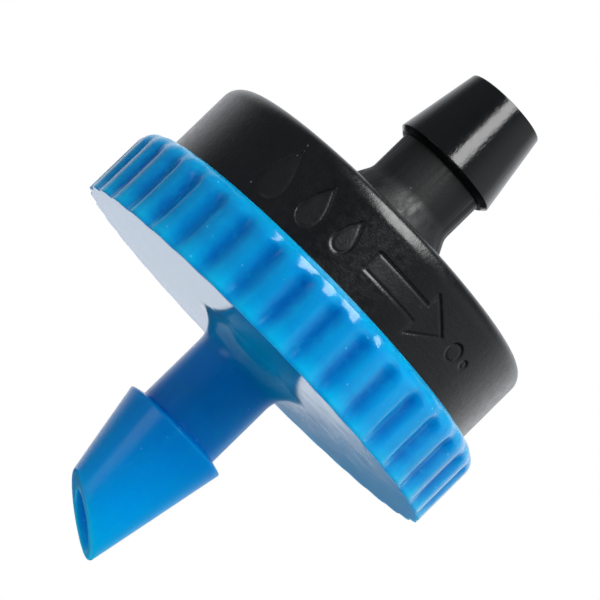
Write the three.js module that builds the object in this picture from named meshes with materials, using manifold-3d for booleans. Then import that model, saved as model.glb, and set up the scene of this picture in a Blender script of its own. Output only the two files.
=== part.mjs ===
// Pressure-compensating button drip emitter, in millimetres.
// +Z runs along the emitter's axis from the inlet barb to the outlet barb. The origin lies on the axis,
// in the plane of the disc's underside, where the wall of the supply pipe stops against it.
// From the inlet up: a fluted base with a self-piercing barb, a loose silicone diaphragm, a labyrinth disc
// that carries the flow path and the metering seat, and a cover with the barb for the outlet tube.
import * as THREE from "three";
import { mergeVertices } from "three/addons/utils/BufferGeometryUtils.js";
import Module from "manifold-3d";

const wasm = await Module();
wasm.setup();

// ---------------------------------------------------------------- driving dimensions
const BASE_SIDES = 72; // sides of the base's round walls, two for each flute
const COVER_SIDES = 60;
const INNER_SIDES = 48; // sides of the loose and enclosed discs
const FIT_GAP = 0.06; // between parts that are pressed together
const CUT_REACH = 30; // size of a cutter that only has to be larger than the part

// Base: disc and fluted ring
const DISC_RADIUS = 10.68;
const RING_HEIGHT = 3.9;
const RING_ROUND = 0.85;
const RING_INNER = 9.47;
const FLOOR_TOP = 1.4;
const FLUTES = 36;
const FLUTE_RADIUS = 0.45;
const FLUTE_DEPTH = 0.42;
const FLUTE_TOP = 3.58;

// Base: inlet barb
const INLET_STEM_RADIUS = 2.21;
const INLET_FILLET = 1.25;
const INLET_BARB_TOP = -4.72;
const INLET_BARB_EDGE = -4.9;
const INLET_BARB_RADIUS = 2.85;
const INLET_CONE_SLOPE = 0.19; // loss of radius for each millimetre towards the point
const INLET_BORE = 1.15;
const INLET_END = -12.8; // the cone's end before the slanted cut
const CUT_TILT = 36; // degrees between the piercing cut and the disc
const CUT_HEEL = { x: -1.78, z: -9.55 }; // where the cut leaves the cone

// Base: chamber under the diaphragm
const SEAT_WALL_INNER = 7.42;
const SEAT_WALL_OUTER = 7.95;
const SEAT_WALL_TOP = 3.3;
const SUPPORT_RIBS = 8;
const SUPPORT_RIB = { inner: 2.1, outer: 6.9, width: 0.8, height: 0.4 };
const FLUSH_NOTCH = { count: 4, width: 1.2, depth: 0.5 };

// Diaphragm
const DIAPHRAGM_RADIUS = 7.2;
const DIAPHRAGM_THICKNESS = 1.1;
const DIAPHRAGM_LIFT = 0.4;
const DIAPHRAGM_EDGE = 0.12;

// Labyrinth disc
const LABYRINTH_RADIUS = 7.98;
const LABYRINTH_THICKNESS = 2.2;
const LABYRINTH_TEETH = 26;
const LABYRINTH_SWEEP = 312; // degrees of the disc that the toothed channel runs through
const CHANNEL_MIDDLE = 5.55;
const CHANNEL_SWING = 0.55;
const CHANNEL_WIDTH = 0.75;
const CHANNEL_DEPTH = 0.85;
const CHANNEL_MOUTH = 7.62; // radius where the channel opens beyond the diaphragm's rim
const CHAMBER_RADIUS = 3.4;
const CHAMBER_DEPTH = 0.55;
const SEAT_RADIUS = 1.75;
const SEAT_DROP = 0.12; // the metering seat stands this far inside the disc's face
const METERING_GROOVE = { width: 0.3, depth: 0.2 };
const OUTLET_HOLE = 0.6;
const SPIGOT_RADIUS = 1.08;
const SPIGOT_HEIGHT = 0.9;

// Cover
const COVER_RADIUS = RING_INNER - FIT_GAP;
const COVER_BOTTOM = FLOOR_TOP + FIT_GAP;
const COVER_TOP = 8.16;
const COVER_ROUND = 0.8;
const COVER_WALL_INNER = 8.1;
const CEILING_AT_WALL = 6.95;
const CEILING_AT_BOSS = 7.6;
const CLAMP_RIB = { inner: 6.7, outer: 7.5 };
const BOSS_RADIUS = 2.6;

// Cover: outlet barb
const OUTLET_STEM_RADIUS = 2.35;
const OUTLET_FLARE = { bottom: 8.75, top: 10.05, radius: 3.02 };
const OUTLET_FILLET = 0.55;
const OUTLET_BARB_BOTTOM = 12.17;
const OUTLET_BARB_EDGE = 12.25;
const OUTLET_BARB_LAND = 0.14;
const OUTLET_BARB_RADIUS = 2.77;
const OUTLET_TIP_RADIUS = 2.11;
const OUTLET_END = 16.42;
const OUTLET_EDGE = 0.08;
const OUTLET_BORE = 1.25;

// Snap bead on the cover and its groove in the ring
const SNAP = { bottom: 2.25, top: 2.85, slope: 0.15, height: 0.18 };

// ---------------------------------------------------------------- worked-out levels
const DIAPHRAGM_BOTTOM = FLOOR_TOP + SUPPORT_RIB.height + FIT_GAP;
const LABYRINTH_BOTTOM = DIAPHRAGM_BOTTOM + DIAPHRAGM_THICKNESS + DIAPHRAGM_LIFT;
const LABYRINTH_TOP = LABYRINTH_BOTTOM + LABYRINTH_THICKNESS;
const CLAMP_LEVEL = LABYRINTH_TOP + FIT_GAP;

// ---------------------------------------------------------------- shared geometry
const at = (r, z) => new THREE.Vector2(r, z);
const radians = THREE.MathUtils.degToRad;

// Points on an arc of a lathe profile, with angles in degrees from the +r direction.
function arc(centreR, centreZ, radius, fromAngle, toAngle, steps) {
  return Array.from({ length: steps + 1 }, (_, i) => {
    const a = radians(fromAngle + ((toAngle - fromAngle) * i) / steps);
    return at(centreR + radius * Math.cos(a), centreZ + radius * Math.sin(a));
  });
}

// A turned shape about +Z. The profile runs up the outside and down the inside.
function turned(profile, sides, closed = true) {
  const points = closed ? [...profile, profile[0].clone()] : profile;
  return new THREE.LatheGeometry(points, sides).rotateX(Math.PI / 2);
}

function solidOf(geometry) {
  const bare = geometry.index ? geometry.toNonIndexed() : geometry.clone();
  bare.deleteAttribute("normal");
  bare.deleteAttribute("uv");
  const merged = mergeVertices(bare, 1e-4);
  return new wasm.Manifold(
    new wasm.Mesh({
      numProp: 3,
      vertProperties: new Float32Array(merged.attributes.position.array),
      triVerts: new Uint32Array(merged.index.array),
    }),
  );
}

function geometryOf(solid) {
  const mesh = solid.getMesh();
  return new THREE.BufferGeometry()
    .setAttribute("position", new THREE.BufferAttribute(mesh.vertProperties, 3))
    .setIndex(new THREE.BufferAttribute(mesh.triVerts, 1));
}

function part(name, solid, material) {
  const geometry = geometryOf(solid).toNonIndexed();
  geometry.computeVertexNormals();
  const mesh = new THREE.Mesh(geometry, material);
  mesh.name = name;
  return mesh;
}

// A bar that lies along a radius, from r1 to r2, turned to an angle in degrees.
function radialBar(r1, r2, width, bottom, top, angle) {
  return new THREE.BoxGeometry(r2 - r1, width, top - bottom)
    .translate((r1 + r2) / 2, 0, (bottom + top) / 2)
    .rotateZ(radians(angle));
}

// ---------------------------------------------------------------- base
const coneRadius = (z) => INLET_BARB_RADIUS - INLET_CONE_SLOPE * (INLET_BARB_EDGE - z);

function baseProfile() {
  const snapOuter = RING_INNER + SNAP.height + FIT_GAP;
  const leadIn = 0.2;
  return [
    at(INLET_BORE, INLET_END),
    at(coneRadius(INLET_END), INLET_END),
    at(INLET_BARB_RADIUS, INLET_BARB_EDGE),
    at(INLET_STEM_RADIUS, INLET_BARB_TOP),
    ...arc(INLET_STEM_RADIUS + INLET_FILLET, -INLET_FILLET, INLET_FILLET, 180, 90, 4),
    at(DISC_RADIUS, 0),
    ...arc(DISC_RADIUS - RING_ROUND, RING_HEIGHT - RING_ROUND, RING_ROUND, 0, 90, 4),
    at(RING_INNER + leadIn, RING_HEIGHT),
    at(RING_INNER, RING_HEIGHT - leadIn),
    at(RING_INNER, SNAP.top + FIT_GAP),
    at(snapOuter, SNAP.top - SNAP.slope + FIT_GAP),
    at(snapOuter, SNAP.bottom + SNAP.slope - FIT_GAP),
    at(RING_INNER, SNAP.bottom - FIT_GAP),
    at(RING_INNER, FLOOR_TOP),
    at(SEAT_WALL_OUTER, FLOOR_TOP),
    at(SEAT_WALL_OUTER, SEAT_WALL_TOP),
    at(SEAT_WALL_INNER, SEAT_WALL_TOP),
    at(SEAT_WALL_INNER, FLOOR_TOP),
    at(INLET_BORE, FLOOR_TOP),
  ];
}

// One flute of the grip ring: a round-ended bar that stands in the ring's outer wall.
function fluteCutter(angle) {
  const sides = 10;
  const below = 1;
  const profile = [
    at(0, -below),
    at(FLUTE_RADIUS, -below),
    ...arc(0, FLUTE_TOP - FLUTE_RADIUS, FLUTE_RADIUS, 0, 90, 3),
  ];
  profile[profile.length - 1].x = 0;
  return turned(profile, sides, false)
    .translate(DISC_RADIUS - FLUTE_DEPTH + FLUTE_RADIUS, 0, 0)
    .rotateZ(radians(angle));
}

// The half-space that the piercing cut takes off the inlet barb's end.
function piercingCutter() {
  return new THREE.BoxGeometry(CUT_REACH, CUT_REACH, CUT_REACH)
    .translate(0, 0, -CUT_REACH / 2)
    .rotateY(radians(CUT_TILT))
    .translate(CUT_HEEL.x, 0, CUT_HEEL.z);
}

function makeBase() {
  let solid = solidOf(turned(baseProfile(), BASE_SIDES));
  solid = solid.subtract(solidOf(piercingCutter()));
  for (let i = 0; i < FLUTES; i++) {
    solid = solid.subtract(solidOf(fluteCutter((360 * i) / FLUTES)));
  }
  const sink = 0.2; // ribs start inside the floor, so that they join it
  for (let i = 0; i < SUPPORT_RIBS; i++) {
    const { inner, outer, width, height } = SUPPORT_RIB;
    const angle = (360 * i) / SUPPORT_RIBS;
    const rib = radialBar(inner, outer, width, FLOOR_TOP - sink, FLOOR_TOP + height, angle);
    solid = solid.add(solidOf(rib));
  }
  const past = 0.3; // notches reach past both faces of the seat wall
  for (let i = 0; i < FLUSH_NOTCH.count; i++) {
    const angle = (360 * (i + 0.5)) / FLUSH_NOTCH.count;
    const notch = radialBar(
      SEAT_WALL_INNER - past,
      SEAT_WALL_OUTER + past,
      FLUSH_NOTCH.width,
      SEAT_WALL_TOP - FLUSH_NOTCH.depth,
      SEAT_WALL_TOP + 1,
      angle,
    );
    solid = solid.subtract(solidOf(notch));
  }
  return solid;
}

// ---------------------------------------------------------------- diaphragm
function makeDiaphragm() {
  const top = DIAPHRAGM_BOTTOM + DIAPHRAGM_THICKNESS;
  const profile = [
    at(0, DIAPHRAGM_BOTTOM),
    at(DIAPHRAGM_RADIUS - DIAPHRAGM_EDGE, DIAPHRAGM_BOTTOM),
    at(DIAPHRAGM_RADIUS, DIAPHRAGM_BOTTOM + DIAPHRAGM_EDGE),
    at(DIAPHRAGM_RADIUS, top - DIAPHRAGM_EDGE),
    at(DIAPHRAGM_RADIUS - DIAPHRAGM_EDGE, top),
    at(0, top),
  ];
  return solidOf(turned(profile, INNER_SIDES, false));
}

// ---------------------------------------------------------------- labyrinth disc
// Outline of the toothed channel: a zigzag band around the disc, with a mouth at the rim where water enters
// and a slot into the middle chamber where it leaves.
function channelOutline() {
  const turns = 2 * LABYRINTH_TEETH;
  const half = CHANNEL_WIDTH / 2;
  const polar = (r, degrees) => at(r * Math.cos(radians(degrees)), r * Math.sin(radians(degrees)));
  const angleOf = (i) => (LABYRINTH_SWEEP * i) / turns;
  const swing = (i) => CHANNEL_MIDDLE + (i % 2 ? CHANNEL_SWING : -CHANNEL_SWING);
  const steps = Array.from({ length: turns + 1 }, (_, i) => i);
  const step = LABYRINTH_SWEEP / turns;
  return [
    polar(CHANNEL_MOUTH, -step),
    polar(CHANNEL_MOUTH, 0),
    ...steps.map((i) => polar(swing(i) + half, angleOf(i))),
    polar(swing(turns) + half, LABYRINTH_SWEEP + step),
    polar(CHAMBER_RADIUS - half, LABYRINTH_SWEEP + step),
    polar(CHAMBER_RADIUS - half, LABYRINTH_SWEEP),
    ...steps.reverse().map((i) => polar(swing(i) - half, angleOf(i))),
    polar(swing(0) - half, -step),
  ];
}

function makeLabyrinth() {
  const chamberTop = LABYRINTH_BOTTOM + CHAMBER_DEPTH;
  const seat = LABYRINTH_BOTTOM + SEAT_DROP;
  const profile = [
    at(OUTLET_HOLE, seat),
    at(SEAT_RADIUS, seat),
    at(SEAT_RADIUS, chamberTop),
    at(CHAMBER_RADIUS, chamberTop),
    at(CHAMBER_RADIUS, LABYRINTH_BOTTOM),
    at(LABYRINTH_RADIUS, LABYRINTH_BOTTOM),
    at(LABYRINTH_RADIUS, LABYRINTH_TOP),
    at(SPIGOT_RADIUS, LABYRINTH_TOP),
    at(SPIGOT_RADIUS, LABYRINTH_TOP + SPIGOT_HEIGHT),
    at(OUTLET_HOLE, LABYRINTH_TOP + SPIGOT_HEIGHT),
  ];
  const below = 1;
  const channel = new THREE.ExtrudeGeometry(new THREE.Shape(channelOutline()), {
    depth: CHANNEL_DEPTH + below,
    bevelEnabled: false,
  }).translate(0, 0, LABYRINTH_BOTTOM - below);
  const { width, depth } = METERING_GROOVE;
  const groove = radialBar(0, SEAT_RADIUS + 0.2, width, seat - below, seat + depth, LABYRINTH_SWEEP / 2);
  return solidOf(turned(profile, INNER_SIDES)).subtract(solidOf(channel)).subtract(solidOf(groove));
}

// ---------------------------------------------------------------- cover
function coverProfile() {
  const leadIn = 0.3;
  const bead = COVER_RADIUS + SNAP.height;
  return [
    at(COVER_WALL_INNER, COVER_BOTTOM),
    at(COVER_RADIUS - leadIn, COVER_BOTTOM),
    at(COVER_RADIUS, COVER_BOTTOM + leadIn),
    at(COVER_RADIUS, SNAP.bottom),
    at(bead, SNAP.bottom + SNAP.slope),
    at(bead, SNAP.top - SNAP.slope),
    at(COVER_RADIUS, SNAP.top),
    ...arc(COVER_RADIUS - COVER_ROUND, COVER_TOP - COVER_ROUND, COVER_ROUND, 0, 90, 4),
    at(OUTLET_FLARE.radius + OUTLET_FILLET, COVER_TOP),
    at(OUTLET_FLARE.radius + OUTLET_FILLET / 4, COVER_TOP + OUTLET_FILLET / 3),
    at(OUTLET_FLARE.radius, OUTLET_FLARE.bottom),
    at(OUTLET_STEM_RADIUS, OUTLET_FLARE.top),
    at(OUTLET_STEM_RADIUS, OUTLET_BARB_BOTTOM),
    at(OUTLET_BARB_RADIUS, OUTLET_BARB_EDGE),
    at(OUTLET_BARB_RADIUS, OUTLET_BARB_EDGE + OUTLET_BARB_LAND),
    at(OUTLET_TIP_RADIUS, OUTLET_END - OUTLET_EDGE),
    at(OUTLET_TIP_RADIUS - OUTLET_EDGE, OUTLET_END),
    at(OUTLET_BORE + OUTLET_EDGE, OUTLET_END),
    at(OUTLET_BORE, OUTLET_END - OUTLET_EDGE),
    at(OUTLET_BORE, CLAMP_LEVEL),
    at(BOSS_RADIUS, CLAMP_LEVEL),
    at(BOSS_RADIUS, CEILING_AT_BOSS),
    at(CLAMP_RIB.inner, CEILING_AT_WALL),
    at(CLAMP_RIB.inner, CLAMP_LEVEL),
    at(CLAMP_RIB.outer, CLAMP_LEVEL),
    at(CLAMP_RIB.outer, CEILING_AT_WALL),
    at(COVER_WALL_INNER, CEILING_AT_WALL),
  ];
}

const makeCover = () => solidOf(turned(coverProfile(), COVER_SIDES));

// ---------------------------------------------------------------- materials and assembly
const plastic = (color, roughness) => new THREE.MeshStandardMaterial({ color, roughness, metalness: 0 });
const bluePlastic = plastic(0x0a78c8, 0.35);
const blackPlastic = plastic(0x1c1d20, 0.4);
const naturalAcetal = plastic(0xe6e4dc, 0.45);
const silicone = plastic(0xb9b6ac, 0.6);

const emitter = new THREE.Group();
emitter.add(
  part("inlet_base", makeBase(), bluePlastic),
  part("diaphragm", makeDiaphragm(), silicone),
  part("labyrinth_disc", makeLabyrinth(), naturalAcetal),
  part("outlet_cover", makeCover(), blackPlastic),
);

export default emitter;
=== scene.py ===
# Looks of the button drip emitter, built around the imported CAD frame.
# Profiles are in millimetres, in the CAD's own frame with +Z along the axis. Meshes are in metres.
import math

import bmesh
import bpy
import numpy as np
from mathutils import Matrix, Vector


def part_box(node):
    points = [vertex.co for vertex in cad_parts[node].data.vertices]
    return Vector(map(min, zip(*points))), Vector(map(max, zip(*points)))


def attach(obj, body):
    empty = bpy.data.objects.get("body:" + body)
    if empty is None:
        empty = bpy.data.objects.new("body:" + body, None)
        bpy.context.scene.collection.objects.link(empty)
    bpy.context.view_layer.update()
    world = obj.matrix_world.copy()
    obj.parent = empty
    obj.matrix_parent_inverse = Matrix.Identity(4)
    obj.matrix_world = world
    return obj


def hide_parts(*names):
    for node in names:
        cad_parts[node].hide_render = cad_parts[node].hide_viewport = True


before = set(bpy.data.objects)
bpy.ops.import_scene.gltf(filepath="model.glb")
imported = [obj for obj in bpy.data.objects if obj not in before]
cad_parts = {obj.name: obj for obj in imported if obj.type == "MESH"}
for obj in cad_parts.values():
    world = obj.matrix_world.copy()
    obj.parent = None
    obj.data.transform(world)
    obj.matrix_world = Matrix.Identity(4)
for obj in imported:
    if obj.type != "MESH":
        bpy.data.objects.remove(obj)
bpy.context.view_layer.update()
MM = 0.001

# ---------------------------------------------------------------- sizes read from the frame
RING_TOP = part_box("inlet_base")[1].z / MM
COVER_BOTTOM, OUTLET_END = (corner.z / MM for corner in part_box("outlet_cover"))
DIAPHRAGM_BOTTOM, DIAPHRAGM_TOP = (corner.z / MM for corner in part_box("diaphragm"))

# ---------------------------------------------------------------- sizes of the base
DISC_RADIUS = 10.68
RING_INNER = 9.47
RING_ROUND = 0.85
FLOOR_TOP = 1.4
FLUTES = 36
FLUTE_PITCH = 2 * math.pi / FLUTES
FLUTE_DEPTH = 0.19
FLUTE_HALF_WIDTH = 0.74
FLUTE_TOP = 3.66
FLUTE_FADE = 1.0  # length of a flute's run-out at the top
FLUTE_RISE = 1.1  # height over which a flute reaches its full depth from the rim
FLUTED_FROM, FLUTED_FADE = 9.9, 0.3  # radius where the flutes start to cut, and the fade beyond it
RING_WAVE = 0.09  # depth of a smooth wave round the ring, lowest along the flutes
SNAP_GROOVE = (2.19, 2.34, 2.76, 2.91)  # the heights of the snap groove's four corners
SNAP_GROOVE_DEPTH = 0.24
CHAMBER_OUTER, CHAMBER_INNER, CHAMBER_TOP = 7.95, 7.42, 3.3
INLET_STEM = 2.21
INLET_FILLET = 1.25
BARB_TOP = -4.72
BARB_EDGE = -4.9
BARB_RADIUS = 2.85
BARB_SLOPE = 0.19
INLET_BORE = 1.15
CUT_TILT = math.radians(36)
CUT_HEEL = (-1.78, -9.55)

# ---------------------------------------------------------------- sizes of the cover and diaphragm
COVER_RADIUS = 9.41
COVER_TOP = 8.16
SKIRT_INNER = 8.1
SNAP_BEAD = (2.25, 2.40, 2.70, 2.85)  # the heights of the snap bead's four corners
SNAP_BEAD_HEIGHT = 0.18
SHOULDER_ROUND = 0.8
OUTLET_FOOT = 3.33
OUTLET_STEM = 2.35
OUTLET_BORE = 1.25
STEM_FOOT_TOP = 10.05
LIP_LOW, LIP_MIDDLE, LIP_TOP = 12.17, 12.20, 12.42
LIP_INNER, LIP_RADIUS = 2.52, 2.77
OUTLET_TIP = 2.11
SEAT_TOP, ROOF_SIDE, ROOF_MIDDLE = 5.62, 6.95, 7.6  # heights inside the cover
SPIGOT_SOCKET = 2.6
WALL_INNER, WALL_OUTER = 6.7, 7.5  # the wall that holds the labyrinth disc down
DIAPHRAGM_RADIUS = 7.2


# ---------------------------------------------------------------- mesh tools
def length(v):
    return np.linalg.norm(v, axis=-1)


def unit(v):
    return v / np.maximum(length(v), 1e-9)[..., None]


def corner_arc(before, corner, after, radius, steps):
    """Points that round a profile's corner, from (columns, 2) arrays with one (r, z) for each column."""
    a, b = unit(before - corner), unit(after - corner)
    half = np.arccos(np.clip((a * b).sum(-1), -1, 1)) / 2
    room = 0.48 * np.minimum(length(before - corner), length(after - corner))
    reach = np.minimum(radius / np.maximum(np.tan(half), 1e-6), room)
    rho = reach * np.tan(half)
    centre = corner + unit(a + b) * (rho / np.sin(half))[:, None]
    start = corner + a * reach[:, None] - centre
    end = corner + b * reach[:, None] - centre
    sweep = math.pi - 2 * half
    points = []
    for i in range(steps + 1):
        t = i / steps
        w0 = np.sin((1 - t) * sweep) / np.maximum(np.sin(sweep), 1e-6)
        w1 = np.sin(t * sweep) / np.maximum(np.sin(sweep), 1e-6)
        points.append(centre + start * w0[:, None] + end * w1[:, None])
    return points


def rounded_profile(corners, columns):
    """A closed profile for every column, from corners (r, z, radius, steps, stops).

    r and z are numbers or one value per column. The corner is rounded by radius in that many steps.
    stops are shares of the straight run to the next corner, each of which gets a row of points.
    """
    spots = [np.stack([np.broadcast_to(c[0], columns), np.broadcast_to(c[1], columns)], -1)
             for c in corners]
    arcs = []
    for i, (_, _, radius, steps, _) in enumerate(corners):
        if steps:
            following = spots[(i + 1) % len(spots)]
            arcs.append(corner_arc(spots[i - 1], spots[i], following, radius, steps))
        else:
            arcs.append([spots[i]])
    rows = []
    for i, arc in enumerate(arcs):
        rows.extend(arc)
        following = arcs[(i + 1) % len(arcs)][0]
        for stop in corners[i][4]:
            rows.append(arc[-1] * (1 - stop) + following * stop)
    return np.stack(rows)


def revolve(name, profile, angles, material):
    """An object from a closed profile[row, column] = (r, z) in millimetres and each column's angle."""
    r, z = profile[..., 0] * MM, profile[..., 1] * MM
    points = np.stack([r * np.cos(angles), r * np.sin(angles), z], -1)
    rows, columns = r.shape
    index = np.arange(rows * columns).reshape(rows, columns)
    following = np.roll(index, -1, 0)
    faces = np.stack([index, np.roll(index, -1, 1), np.roll(following, -1, 1), following], -1)
    mesh = bpy.data.meshes.new(name)
    mesh.from_pydata(points.reshape(-1, 3).tolist(), [], faces.reshape(-1, 4).tolist())
    made = bmesh.new()
    made.from_mesh(mesh)
    bmesh.ops.recalc_face_normals(made, faces=made.faces)
    made.to_mesh(mesh)
    made.free()
    mesh.polygons.foreach_set("use_smooth", [True] * len(mesh.polygons))
    mesh.materials.append(material)
    made_object = bpy.data.objects.new(name, mesh)
    bpy.context.scene.collection.objects.link(made_object)
    return made_object


def store(piece, name, values):
    """Keep one value per (row, column) on the piece's points, for its material to read."""
    attribute = piece.data.attributes.new(name, "FLOAT", "POINT")
    attribute.data.foreach_set("value", values.ravel().astype(np.float32))


def smooth(share):
    """A 0 to 1 ramp with soft ends."""
    share = np.clip(share, 0, 1)
    return share * share * (3 - 2 * share)


# ---------------------------------------------------------------- node tools
class Tree:
    """The node tree of a material or world, with short ways to add and join nodes."""

    def __init__(self, owner):
        owner.use_nodes = True
        self.tree = owner.node_tree

    def add(self, kind, **settings):
        node = self.tree.nodes.new(kind)
        for key, value in settings.items():
            setattr(node, key, value)
        return node

    def join(self, source, target):
        self.tree.links.new(source, target)

    def map_range(self, source, start, end, low, high, **settings):
        node = self.add("ShaderNodeMapRange", **settings)
        for key, value in (("From Min", start), ("From Max", end), ("To Min", low), ("To Max", high)):
            node.inputs[key].default_value = value
        self.join(source, node.inputs["Value"])
        return node.outputs["Result"]

    def maths(self, operation, *values):
        """A maths node on numbers or other nodes' outputs."""
        node = self.add("ShaderNodeMath", operation=operation)
        for socket, value in zip(node.inputs, values):
            if isinstance(value, (int, float)):
                socket.default_value = value
            else:
                self.join(value, socket)
        return node.outputs[0]

    def plus(self, a, b):
        return self.maths("ADD", a, b)

    def times(self, a, b):
        return self.maths("MULTIPLY", a, b)


class Nodes(Tree):
    """A material, with the textures and ramps that its colour, roughness and bump are made of."""

    def __init__(self, name):
        self.material = bpy.data.materials.new(name)
        super().__init__(self.material)
        self.shader = self.tree.nodes["Principled BSDF"]
        self.place = self.add("ShaderNodeTexCoord").outputs["Object"]

    def feed(self, name, source):
        """Drive one of the shader's inputs."""
        self.join(source, self.shader.inputs[name])

    def fix(self, name, value):
        """Set one of the shader's inputs, the same all over."""
        self.shader.inputs[name].default_value = value

    def coordinate(self, axis):
        """X, Y or Z in the emitter's frame, in metres."""
        node = self.add("ShaderNodeSeparateXYZ")
        self.join(self.place, node.inputs[0])
        return node.outputs[axis]

    def stored(self, name):
        """A value kept on the mesh's points."""
        return self.add("ShaderNodeAttribute", attribute_name=name).outputs["Fac"]

    def stretched(self, x, y, z):
        """The place, scaled: a factor below 1 draws a texture out along that axis."""
        node = self.add("ShaderNodeMapping")
        node.inputs["Scale"].default_value = (x, y, z)
        self.join(self.place, node.inputs["Vector"])
        return node.outputs["Vector"]

    def noise(self, scale, detail=3.0, rough=0.6, place=None):
        node = self.add("ShaderNodeTexNoise")
        node.inputs["Scale"].default_value = scale
        node.inputs["Detail"].default_value = detail
        node.inputs["Roughness"].default_value = rough
        self.join(place or self.place, node.inputs["Vector"])
        return node.outputs["Fac"]

    def ramp(self, source, start, end, low=0.0, high=1.0):
        """low at start and before it, high at end and beyond it."""
        return self.map_range(source, start, end, low, high)

    def along(self, source, span, low=0.0, high=1.0):
        """A ramp over a span of places, in millimetres."""
        return self.ramp(source, span[0] * MM, span[1] * MM, low, high)

    def mix(self, factor, a, b):
        node = self.add("ShaderNodeMix", data_type="RGBA")
        for key, value in (("Factor", factor), ("A", a), ("B", b)):
            socket = next(s for s in node.inputs if s.name == key and s.enabled)
            if isinstance(value, (int, float, tuple)):
                socket.default_value = value
            else:
                self.join(value, socket)
        return next(s for s in node.outputs if s.enabled)

    def bump(self, height, strength, depth, before=None):
        """A bumped normal, depth millimetres high. before is a normal that it builds on."""
        node = self.add("ShaderNodeBump")
        node.inputs["Strength"].default_value = strength
        node.inputs["Distance"].default_value = depth * MM
        self.join(height, node.inputs["Height"])
        if before is not None:
            self.join(before, node.inputs["Normal"])
        return node.outputs["Normal"]

    def specks(self, scale, size, place=None):
        """Small sparse spots: 1 inside a spot and 0 elsewhere. About one cell in seven has one."""
        node = self.add("ShaderNodeTexVoronoi")
        node.inputs["Scale"].default_value = scale
        self.join(place or self.place, node.inputs["Vector"])
        near = self.ramp(node.outputs["Distance"], size * 0.6, size, 1.0, 0.0)
        pick = self.add("ShaderNodeSeparateColor")
        self.join(node.outputs["Color"], pick.inputs[0])
        chosen = self.ramp(pick.outputs[0], 0.86, 0.88)
        return self.times(near, chosen)


# ---------------------------------------------------------------- blue plastic
BLUE_DARK, BLUE_PALE = (0.0, 0.260, 0.570, 1), (0.0, 0.300, 0.635, 1)
RIM_GLOW_BLUE = (0.0, 0.470, 0.780, 1)  # the ring's lower rim, where light comes through: a painted glow
# painted glow: the stem lighter than the rest, standing in for light that comes through it
STEM_GLOW_BLUE = (0.0, 0.300, 0.780, 1)
# painted glow: the barb lighter still towards its tip
TIP_GLOW_BLUE = (0.0, 0.410, 0.900, 1)
# painted shade in the flutes
FLUTE_SHADE_BLUE = (0.0, 0.135, 0.480, 1)
CROWN_SHADE_BLUE = (0.0, 0.240, 0.440, 1)  # the ring's rounded top edge, darkened with painted shade
FLECK_BLUE = (0.0, 0.370, 0.700, 1)
SPECK_BLUE = (0.25, 0.62, 0.85, 1)
# painted glints: pale spots along the rim and the crown
GLINT_BLUE = (0.18, 0.62, 0.80, 1)
# where each change starts and ends along the axis, in millimetres
RIM_ABOVE_UNDERSIDE = (0.03, 0.2)
RIM_GLOW = (1.3, 0.2)
STEM_GLOW = (0.0, -1.2)
TIP_GLOW = (-5.2, -11.5)
CROWN_SHADE = (3.0, 3.7)
GLINT_BAND = (3.1, 3.4)
BELOW_RING, ABOVE_STEM = (0.2, 0.05), (-1.4, -0.8)  # between them, the underside
DULL_BELOW = (-0.01, -0.12)
# and across the emitter, along X
DULL_SIDE = (-1.9, -0.4)
WORN_SIDE = (3.0, 12.0)


def blue_colour(n, height, flute):
    """Faint flow clouds, painted glow on the rim, stem and tip, painted shade in the flutes and on the
    crown, then flecks, specks and painted glints.
    """
    clouds = n.ramp(n.noise(260), 0.35, 0.68)
    colour = n.mix(clouds, BLUE_DARK, BLUE_PALE)
    level = n.plus(height, n.times(clouds, 0.5 * MM))
    # painted glow along the ring's lower rim
    glowing_rim = n.times(n.along(level, RIM_GLOW, 0.0, 0.75), n.along(height, RIM_ABOVE_UNDERSIDE))
    colour = n.mix(glowing_rim, colour, RIM_GLOW_BLUE)
    # painted glow down the stem
    colour = n.mix(n.along(level, STEM_GLOW), colour, STEM_GLOW_BLUE)
    # painted glow towards the barb's tip
    colour = n.mix(n.along(level, TIP_GLOW), colour, TIP_GLOW_BLUE)
    # painted shade in the flutes, uneven along them
    uneven = n.ramp(n.noise(1300, place=n.stretched(1, 1, 0.4)), 0.3, 0.7, 0.65, 1.0)
    colour = n.mix(n.times(flute, uneven), colour, FLUTE_SHADE_BLUE)
    # painted shade on the ring's rounded top edge, where the light from above falls
    colour = n.mix(n.along(height, CROWN_SHADE, 0.0, 0.85), colour, CROWN_SHADE_BLUE)
    flecks = n.ramp(n.noise(1900, 5.0, 0.75), 0.52, 0.72, 0.0, 0.40)
    colour = n.mix(flecks, colour, FLECK_BLUE)
    colour = n.mix(n.times(n.specks(2600, 0.14), 0.4), colour, SPECK_BLUE)
    # painted glints in pale spots along the rim and the crown
    glint_edges = n.plus(glowing_rim, n.along(height, GLINT_BAND, 0.0, 0.6))
    glints = n.times(n.specks(1500, 0.20, n.stretched(1, 1, 1.6)), glint_edges)
    return n.mix(n.times(glints, 0.8), colour, GLINT_BLUE)


def blue_gloss(n, height, flute):
    """Specular level and roughness: satin, worn on the underside, dull on one side below the ring."""
    across = n.coordinate("X")
    smears = n.noise(700, 4.0, 0.65, n.stretched(1, 1, 0.35))
    satin = n.ramp(smears, 0.3, 0.75, 0.12, 0.22)
    underside = n.times(n.along(height, BELOW_RING), n.along(height, ABOVE_STEM))
    worn = n.along(n.plus(across, n.times(smears, 7 * MM)), WORN_SIDE, 0.08, 0.42)
    dull = n.times(n.along(height, DULL_BELOW), n.along(across, DULL_SIDE))
    level = n.times(n.ramp(dull, 0.0, 1.0, 0.42, 0.10), n.ramp(flute, 0.0, 1.0, 1.0, 0.4))
    rough = n.plus(n.mix(underside, satin, worn), n.times(dull, 0.16))
    return level, rough


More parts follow.
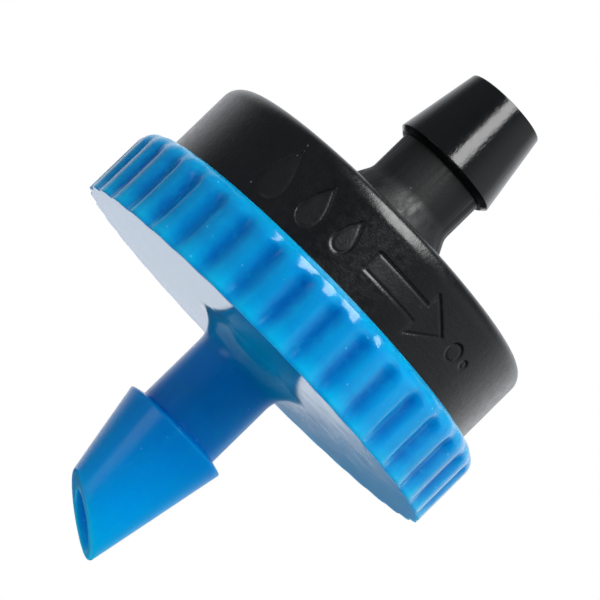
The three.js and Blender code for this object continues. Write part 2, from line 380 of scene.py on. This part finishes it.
def blue_plastic():
    """Translucent blue polypropylene with a fine moulded texture."""
    n = Nodes("blue_plastic")
    height = n.coordinate("Z")
    flute = n.stored("hollow")
    level, rough = blue_gloss(n, height, flute)
    ripples = n.bump(n.noise(900, 2.0, 0.5), 0.35, 0.03)
    n.feed("Base Color", blue_colour(n, height, flute))
    n.feed("Specular IOR Level", level)
    n.feed("Roughness", rough)
    n.feed("Normal", n.bump(n.noise(5200, 2.0), 0.4, 0.006, ripples))
    n.fix("IOR", 1.49)
    n.fix("Subsurface Weight", 1.0)
    n.fix("Subsurface Radius", (0.10, 0.90, 1.0))
    n.fix("Subsurface Scale", 1.4 * MM)
    return n.material


# ---------------------------------------------------------------- black plastic
BLACK_DARK, BLACK_PALE = (0.0026, 0.0033, 0.0041, 1), (0.0038, 0.0047, 0.0056, 1)
DUST_GREY = (0.30, 0.30, 0.31, 1)
STEM_FINISH, BARB_FINISH = (8.4, 9.0), (12.15, 12.25)  # where each starts along the axis


def black_plastic():
    """Black polypropylene: satin wall, drawn marks along the stem and turned marks round the shoulder."""
    n = Nodes("black_plastic")
    height = n.coordinate("Z")
    mark = n.stored("mark")
    on_stem = n.along(height, STEM_FINISH)
    on_barb = n.along(height, BARB_FINISH)

    clouds = n.ramp(n.noise(420, 4.0), 0.35, 0.7)
    dust = n.times(n.specks(1900, 0.10), 0.35)
    n.feed("Base Color", n.mix(dust, n.mix(clouds, BLACK_DARK, BLACK_PALE), DUST_GREY))

    drawn = n.noise(2600, place=n.stretched(1, 1, 0.05))
    turned = n.noise(2400, place=n.stretched(0.06, 0.06, 1))
    mottled = n.noise(2600, 4.0, 0.7)
    wall = n.plus(n.ramp(mottled, 0.3, 0.75, 0.20, 0.34), n.times(mark, 0.12))
    stem = n.ramp(drawn, 0.35, 0.65, 0.44, 0.72)
    barb = n.ramp(mottled, 0.3, 0.75, 0.13, 0.20)
    n.feed("Roughness", n.mix(on_barb, n.mix(on_stem, wall, stem), barb))

    marks = n.mix(on_stem, n.mix(0.35, mottled, turned), n.mix(0.8, mottled, drawn))
    grain = n.bump(n.noise(7000, 2.0), 0.6, 0.011, n.bump(marks, 0.75, 0.014))
    sparkle = n.times(n.noise(9000, 2.0, 0.7), mark)
    n.feed("Normal", n.bump(sparkle, 0.8, 0.012, grain))
    n.fix("IOR", 1.5)
    return n.material


# ---------------------------------------------------------------- acetal and silicone
def acetal():
    """Uncoloured acetal of the labyrinth disc: waxy off-white with faint flow clouds."""
    n = Nodes("natural_acetal")
    clouds = n.ramp(n.noise(500), 0.35, 0.68)
    n.feed("Base Color", n.mix(clouds, (0.74, 0.72, 0.66, 1), (0.80, 0.78, 0.72, 1)))
    n.feed("Roughness", n.ramp(n.noise(1800), 0.3, 0.7, 0.38, 0.55))
    n.feed("Normal", n.bump(n.noise(3000), 0.3, 0.01))
    n.fix("Subsurface Weight", 0.3)
    n.fix("Subsurface Scale", 0.6 * MM)
    return n.material


def silicone():
    """Grey translucent silicone of the diaphragm: matt, with a fine powdery grain."""
    n = Nodes("silicone")
    clouds = n.ramp(n.noise(380, 4.0), 0.35, 0.68)
    n.feed("Base Color", n.mix(clouds, (0.42, 0.40, 0.36, 1), (0.52, 0.50, 0.45, 1)))
    n.feed("Roughness", n.ramp(n.noise(4200, 2.0), 0.3, 0.7, 0.50, 0.72))
    n.feed("Normal", n.bump(n.noise(5200, 2.0), 0.4, 0.008))
    n.fix("Subsurface Weight", 0.4)
    n.fix("Subsurface Scale", 0.8 * MM)
    return n.material


BLUE, BLACK, ACETAL, SILICONE = blue_plastic(), black_plastic(), acetal(), silicone()


# ---------------------------------------------------------------- base: barb, disc and fluted ring
def base_angles():
    """Angles of the base's columns: close together on the flutes' sides, wider apart on the lands."""
    edge = FLUTE_HALF_WIDTH / DISC_RADIUS / FLUTE_PITCH
    side = np.arange(9) / 8 * edge
    share = np.concatenate([side, [0.5], 1 - side[:0:-1]])
    return np.concatenate([(i + share) * FLUTE_PITCH for i in range(FLUTES)])


def flute_share(angles, z):
    """The flutes' depth at each (row, column), from 0 on the lands to 1 at the flutes' bottoms."""
    off = (angles + FLUTE_PITCH / 2) % FLUTE_PITCH - FLUTE_PITCH / 2
    fade = np.maximum(z - FLUTE_TOP + FLUTE_FADE, 0) / FLUTE_FADE
    share = np.clip(np.hypot(off * DISC_RADIUS / FLUTE_HALF_WIDTH, fade), 0, 1)
    return (0.5 + 0.5 * np.cos(math.pi * share)) * (0.5 + 0.5 * smooth(z / FLUTE_RISE))


def cut_level(r, angles):
    """Height of the piercing cut at radius r in each column."""
    return CUT_HEEL[1] - (r * np.cos(angles) - CUT_HEEL[0]) * math.tan(CUT_TILT)


def cut_on_cone(angles):
    """(r, z) where the piercing cut meets the barb's cone in each column."""
    k = np.cos(angles) * math.tan(CUT_TILT)
    top = CUT_HEEL[1] + CUT_HEEL[0] * math.tan(CUT_TILT)
    z = (top - (BARB_RADIUS - BARB_SLOPE * BARB_EDGE) * k) / (1 + BARB_SLOPE * k)
    return BARB_RADIUS - BARB_SLOPE * (BARB_EDGE - z), z


def ring_top():
    """The corners of a quarter round along the ring's top outer edge."""
    turns = np.linspace(0, math.pi / 2, 17)
    r, z = DISC_RADIUS - RING_ROUND, RING_TOP - RING_ROUND
    return [(r + RING_ROUND * math.cos(t), z + RING_ROUND * math.sin(t), 0, 0, []) for t in turns]


def base_corners(angles):
    edge_r, edge_z = cut_on_cone(angles)
    groove = RING_INNER + SNAP_GROOVE_DEPTH
    cone = [0.03] + [i / 8 for i in range(1, 8)] + [0.97]
    underside = [0.01, 0.1, 0.3, 0.5, 0.7, 0.85, 0.94, 0.985]
    ring = [0.015, 0.04, 0.08, 0.12, 0.16, 0.21, 0.3, 0.5, 0.7, 0.85, 0.93]
    return [
        (INLET_BORE, cut_level(INLET_BORE, angles), 0.10, 4, [0.5]),
        (edge_r, edge_z, 0.22, 7, cone),
        (BARB_RADIUS, BARB_EDGE, 0.10, 5, [0.5]),
        (INLET_STEM, BARB_TOP, 0.07, 3, [0.04, 0.5, 0.96]),
        (INLET_STEM, 0.0, INLET_FILLET, 12, underside),
        (DISC_RADIUS, 0.0, 0.04, 3, ring),
        *ring_top(),
        (RING_INNER, RING_TOP, 0.08, 4, [0.05, 0.5]),
        (RING_INNER, SNAP_GROOVE[3], 0, 0, []),
        (groove, SNAP_GROOVE[2], 0, 0, []),
        (groove, SNAP_GROOVE[1], 0, 0, []),
        (RING_INNER, SNAP_GROOVE[0], 0, 0, []),
        (RING_INNER, FLOOR_TOP, 0.08, 2, []),
        (CHAMBER_OUTER, FLOOR_TOP, 0.08, 2, []),
        (CHAMBER_OUTER, CHAMBER_TOP, 0.06, 2, []),
        (CHAMBER_INNER, CHAMBER_TOP, 0.06, 2, []),
        (CHAMBER_INNER, FLOOR_TOP, 0.08, 2, [0.05, 0.5, 0.95]),
        (INLET_BORE, FLOOR_TOP, 0.08, 3, [0.02, 0.3, 0.6, 0.9]),
    ]


def make_base():
    angles = base_angles()
    profile = rounded_profile(base_corners(angles), len(angles))
    r, z = profile[..., 0], profile[..., 1]
    on_ring = np.clip((r - FLUTED_FROM) / FLUTED_FADE, 0, 1)
    flutes = flute_share(angles, z) * on_ring
    wave = (0.5 + 0.5 * np.cos(angles * FLUTES)) * on_ring
    profile[..., 0] = r - FLUTE_DEPTH * flutes - RING_WAVE * wave
    base = revolve("base_with_inlet_barb", profile, angles, BLUE)
    # the flutes' depth, which the blue material reads to paint shade in the flutes
    store(base, "hollow", flutes)
    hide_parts("inlet_base")
    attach(base, "housing")


# ---------------------------------------------------------------- flow mark on the cover's wall
MARK_AZIMUTH = math.radians(-103.2)
MARK_LOW, MARK_HIGH = 4.25, 7.25
MARK_LEFT, MARK_RIGHT = -7.2, 7.4  # along the wall, from the mark's centre
MARK_MIDDLE = 5.75
MARK_STEP = 0.045  # between the mesh points under the mark
LINE_DEPTH, LINE_HALF_WIDTH = 0.034, 0.06
INSIDE_DEPTH = 0.02
FAR = 9.0  # further than any point is from the mark's outlines


def circle_points(x, z, radius, count):
    turns = [2 * math.pi * i / count for i in range(count)]
    return [(x + radius * math.cos(t), z + radius * math.sin(t)) for t in turns]


def drop_points(x, z, height, count=36):
    """Outline of a water drop with its point up."""
    points = []
    for i in range(count):
        t = 2 * math.pi * i / count
        half_width = 0.36 * height * math.sin(t / 2) ** 1.3
        points.append((x + half_width * math.sin(t), z + 0.5 * height * math.cos(t)))
    return points


def arrow_points(left, right, z, half, head):
    """Outline of an arrow that points to the right."""
    neck = right - head
    bar = half * 0.42
    lower = [(left, z - bar), (neck, z - bar), (neck, z - half)]
    return lower + [(right, z)] + [(x, 2 * z - y) for x, y in reversed(lower)]


def mark_outlines():
    """Closed outlines of the flow mark, each point (length along the wall, height)."""
    return [
        drop_points(-5.5, MARK_MIDDLE, 2.7),
        drop_points(-3.2, MARK_MIDDLE, 2.2),
        drop_points(-1.3, MARK_MIDDLE, 1.7),
        arrow_points(0.2, 5.0, MARK_MIDDLE, 1.15, 1.6),
        circle_points(6.1, MARK_MIDDLE, 0.42, 28),
        circle_points(7.05, MARK_MIDDLE, 0.18, 16),
    ]


def mark_relief(u, v):
    """Relief of the mark, in millimetres inward, and a 0 to 1 mask of the outlines' insides."""
    nearest = np.full(u.shape, FAR)
    inside = np.zeros(u.shape, bool)
    for outline in mark_outlines():
        within = np.zeros(u.shape, bool)
        for (ax, ay), (bx, by) in zip(outline, outline[1:] + outline[:1]):
            dx, dy = bx - ax, by - ay
            t = np.clip(((u - ax) * dx + (v - ay) * dy) / (dx * dx + dy * dy), 0, 1)
            nearest = np.minimum(nearest, np.hypot(u - ax - t * dx, v - ay - t * dy))
            if dy:
                crosses = (ay > v) != (by > v)
                within ^= crosses & (u < ax + (v - ay) * dx / dy)
        inside |= within
    line = LINE_DEPTH * np.exp(-((nearest / LINE_HALF_WIDTH) ** 2))
    return line + INSIDE_DEPTH * inside, inside.astype(float)


# ---------------------------------------------------------------- cover
def cover_angles():
    """Angles of the cover's columns: close together under the mark, wider apart elsewhere."""
    left, right = MARK_LEFT / COVER_RADIUS, MARK_RIGHT / COVER_RADIUS
    dense = MARK_AZIMUTH + np.arange(left, right, MARK_STEP / COVER_RADIUS)
    rest = 2 * math.pi - (right - left)
    coarse = dense[-1] + np.linspace(0, rest, 150)[1:-1]
    return np.concatenate([dense, coarse])


def cover_corners():
    bead = COVER_RADIUS + SNAP_BEAD_HEIGHT
    wall_start, wall_end = SNAP_BEAD[3], COVER_TOP - SHOULDER_ROUND
    rows = [3.0, 3.6, 4.0, *np.arange(MARK_LOW, MARK_HIGH, MARK_STEP * 1.1)]
    wall = [(z - wall_start) / (wall_end - wall_start) for z in rows]
    held = [0.04, 0.5, 0.96]
    return [
        (SKIRT_INNER, COVER_BOTTOM, 0.05, 2, []),
        (COVER_RADIUS - 0.3, COVER_BOTTOM, 0, 0, []),
        (COVER_RADIUS, COVER_BOTTOM + 0.3, 0, 0, []),
        (COVER_RADIUS, SNAP_BEAD[0], 0, 0, []),
        (bead, SNAP_BEAD[1], 0, 0, []),
        (bead, SNAP_BEAD[2], 0, 0, []),
        (COVER_RADIUS, wall_start, 0, 0, wall),
        (COVER_RADIUS, COVER_TOP, SHOULDER_ROUND, 16, [0.02, 0.2, 0.5, 0.8, 0.96]),
        (OUTLET_FOOT, COVER_TOP, 0.55, 8, held),
        (OUTLET_STEM, STEM_FOOT_TOP, 0.9, 6, held),
        (OUTLET_STEM, LIP_LOW, 0.05, 3, [0.3, 0.7]),
        (LIP_INNER, LIP_MIDDLE, 0.03, 2, []),
        (LIP_RADIUS, LIP_TOP, 0.06, 4, [0.03, 0.3, 0.6, 0.97]),
        (OUTLET_TIP, OUTLET_END, 0.10, 5, [0.5]),
        (OUTLET_BORE, OUTLET_END, 0.12, 5, held),
        (OUTLET_BORE, SEAT_TOP, 0, 0, []),
        (SPIGOT_SOCKET, SEAT_TOP, 0, 0, []),
        (SPIGOT_SOCKET, ROOF_MIDDLE, 0, 0, []),
        (WALL_INNER, ROOF_SIDE, 0, 0, []),
        (WALL_INNER, SEAT_TOP, 0, 0, []),
        (WALL_OUTER, SEAT_TOP, 0, 0, []),
        (WALL_OUTER, ROOF_SIDE, 0, 0, []),
        (SKIRT_INNER, ROOF_SIDE, 0, 0, []),
    ]


def make_cover():
    angles = cover_angles()
    profile = rounded_profile(cover_corners(), len(angles))
    r, z = profile[..., 0], profile[..., 1]
    turn = (angles - MARK_AZIMUTH + math.pi) % (2 * math.pi) - math.pi
    along = np.broadcast_to(turn * COVER_RADIUS, r.shape)
    on_wall = (r > COVER_RADIUS - 0.01) & (z > MARK_LOW) & (z < MARK_HIGH)
    marked = on_wall & (along > MARK_LEFT - 0.4) & (along < MARK_RIGHT + 0.2)
    relief, inside = np.zeros(r.shape), np.zeros(r.shape)
    relief[marked], inside[marked] = mark_relief(along[marked], z[marked])
    profile[..., 0] = r - relief
    cover = revolve("cover_with_outlet_barb", profile, angles, BLACK)
    store(cover, "mark", inside)
    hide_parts("outlet_cover")
    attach(cover, "housing")


# ---------------------------------------------------------------- diaphragm and labyrinth disc
def make_diaphragm():
    near_axis = 0.001  # the profile stays off the axis, so the mesh is one closed ring of quads
    corners = [
        (near_axis, DIAPHRAGM_BOTTOM, 0, 0, [0.5, 0.98]),
        (DIAPHRAGM_RADIUS, DIAPHRAGM_BOTTOM, 0.2, 5, [0.5]),
        (DIAPHRAGM_RADIUS, DIAPHRAGM_TOP, 0.2, 5, [0.02, 0.5]),
        (near_axis, DIAPHRAGM_TOP, 0, 0, []),
    ]
    angles = np.linspace(0, 2 * math.pi, 121)[:-1]
    disc = revolve("silicone_diaphragm", rounded_profile(corners, len(angles)), angles, SILICONE)
    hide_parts("diaphragm")
    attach(disc, "diaphragm")


def finish_labyrinth():
    """The labyrinth disc keeps its CAD shape, and gets its material."""
    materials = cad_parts["labyrinth_disc"].data.materials
    materials.clear()
    materials.append(ACETAL)


make_base()
make_cover()
make_diaphragm()
finish_labyrinth()

# ---------------------------------------------------------------- camera
VIEW_AZIMUTH = math.radians(-16.2)
VIEW_ELEVATION = math.radians(-6.2)
AXIS_IN_VIEW = math.radians(44.3)  # the emitter's axis, from the picture's horizontal
VIEW_DISTANCE = 0.150
AIM_RIGHT, AIM_UP = 2.174 * MM, 2.530 * MM
LENS, SENSOR = 197.1, 36.0


def view_axes(azimuth, elevation):
    """The right, up and back directions of something that looks at the emitter from there."""
    back = Vector((
        math.sin(azimuth) * math.cos(elevation),
        -math.cos(azimuth) * math.cos(elevation),
        math.sin(elevation),
    ))
    right = Vector((math.cos(azimuth), math.sin(azimuth), 0))
    return right, back.cross(right), back


def make_camera():
    right, up, back = view_axes(VIEW_AZIMUTH, VIEW_ELEVATION)
    roll_cos, roll_sin = math.cos(AXIS_IN_VIEW), math.sin(AXIS_IN_VIEW)
    across = right * roll_sin + up * roll_cos
    upward = up * roll_sin - right * roll_cos
    data = bpy.data.cameras.new("camera")
    data.lens, data.sensor_width = LENS, SENSOR
    data.clip_start, data.clip_end = 0.01, 20
    camera = bpy.data.objects.new("camera", data)
    place = across * AIM_RIGHT + upward * AIM_UP + back * VIEW_DISTANCE
    turn = Matrix((across, upward, back)).transposed()
    camera.matrix_world = Matrix.Translation(place) @ turn.to_4x4()
    bpy.context.scene.collection.objects.link(camera)
    bpy.context.scene.camera = camera


make_camera()


# ---------------------------------------------------------------- studio
LIGHT_CENTRE = Vector((0, 0, 3 * MM))
LIGHT_DISTANCE = 0.60
COOL_TINT = (0.96, 0.985, 1.03)


def softbox(name, azimuth, elevation, size, power, mirrored=True):
    """An area light that faces the emitter, (width, height) in size.

    Its azimuth is counted from the camera's, in degrees. Gloss doesn't show it unless it is mirrored.
    """
    right, up, back = view_axes(VIEW_AZIMUTH + math.radians(azimuth), math.radians(elevation))
    data = bpy.data.lights.new(name, "AREA")
    data.shape = "RECTANGLE"
    data.size, data.size_y = size
    data.energy = power
    lamp = bpy.data.objects.new(name, data)
    turn = Matrix((right, up, back)).transposed()
    lamp.matrix_world = Matrix.Translation(LIGHT_CENTRE + back * LIGHT_DISTANCE) @ turn.to_4x4()
    lamp.visible_camera = False
    lamp.visible_glossy = mirrored
    bpy.context.scene.collection.objects.link(lamp)


softbox("key", 6.5, 54, (0.28, 0.78), 6.6)
softbox("fill", 78, 25, (0.40, 0.40), 1.2, mirrored=False)


class Room(Tree):
    """The world's light: a white room whose brightness depends on the direction."""

    def __init__(self):
        self.world = bpy.data.worlds.new("studio")
        super().__init__(self.world)
        self.direction = self.add("ShaderNodeTexCoord").outputs["Generated"]

    def patch(self, direction, start, end, low, high):
        """low to high brightness as the cosine from the direction goes from start to end."""
        along = self.add("ShaderNodeVectorMath", operation="DOT_PRODUCT")
        along.inputs[1].default_value = direction
        self.join(self.direction, along.inputs[0])
        cosine = along.outputs["Value"]
        return self.map_range(cosine, start, end, low, high, interpolation_type="SMOOTHSTEP")

    def tinted(self, cool, neutral):
        """The colour of the cool light with its tint, plus the neutral light."""
        colour = self.add("ShaderNodeCombineColor")
        for socket, strength in zip(colour.inputs, COOL_TINT):
            self.join(self.maths("MULTIPLY_ADD", cool, strength, neutral), socket)
        return colour.outputs[0]

    def light_with(self, colour):
        """Light the scene with the colour. The camera itself sees plain white behind the emitter."""
        room = self.tree.nodes["Background"]
        self.join(colour, room.inputs["Color"])
        plain = self.add("ShaderNodeBackground")
        plain.inputs["Color"].default_value = (1, 1, 1, 1)
        path = self.add("ShaderNodeLightPath")
        either = self.add("ShaderNodeMixShader")
        self.join(path.outputs["Is Camera Ray"], either.inputs[0])
        self.join(room.outputs[0], either.inputs[1])
        self.join(plain.outputs[0], either.inputs[2])
        self.join(either.outputs[0], self.tree.nodes["World Output"].inputs["Surface"])
        bpy.context.scene.world = self.world


def toward(azimuth, elevation=0.0):
    """A direction, with its azimuth counted from the camera's, in degrees."""
    return tuple(view_axes(VIEW_AZIMUTH + math.radians(azimuth), math.radians(elevation))[2])


def make_world():
    """Bright behind the emitter and above the bench, dim on the camera's side and below."""
    room = Room()
    up = (0, 0, 1)
    behind = room.patch(toward(0), -0.88, -0.25, 0.95, 0.07)
    above_floor = room.patch(up, -0.22, -0.115, 0.04, 1.0)
    left_wall = room.patch(toward(-75), 0.4, 1.0, 0.0, 0.10)
    cool = room.plus(room.times(behind, above_floor), left_wall)

    right_wall = room.patch(toward(80), 0.42, 1.0, 0.0, 0.54)
    window = room.patch(toward(130), 0.80, 0.97, 0.0, 0.4)
    above_bench = room.patch(up, -0.02, 0.11, 0.0, 1.0)
    card = room.patch(toward(-52, -17), 0.955, 0.99, 0.0, 0.9)
    neutral = room.plus(room.times(room.plus(right_wall, window), above_bench), card)
    room.light_with(room.tinted(cool, neutral))


make_world()


FLOOR_HALF, FLOOR_LEVEL = 0.5, -0.40


def make_floor():
    """A plain pale floor, well below the emitter, which floats."""
    square = ((-1, -1), (1, -1), (1, 1), (-1, 1))
    corners = [(x * FLOOR_HALF, y * FLOOR_HALF, FLOOR_LEVEL) for x, y in square]
    mesh = bpy.data.meshes.new("floor")
    mesh.from_pydata(corners, [], [(0, 1, 2, 3)])
    n = Nodes("floor_paper")
    n.feed("Base Color", n.mix(n.noise(6, 2.0, 0.5), (0.90, 0.90, 0.90, 1), (0.93, 0.93, 0.93, 1)))
    n.fix("Roughness", 0.9)
    mesh.materials.append(n.material)
    floor = bpy.data.objects.new("floor", mesh)
    bpy.context.scene.collection.objects.link(floor)


make_floor()
bpy.context.scene.view_settings.view_transform = "Standard"
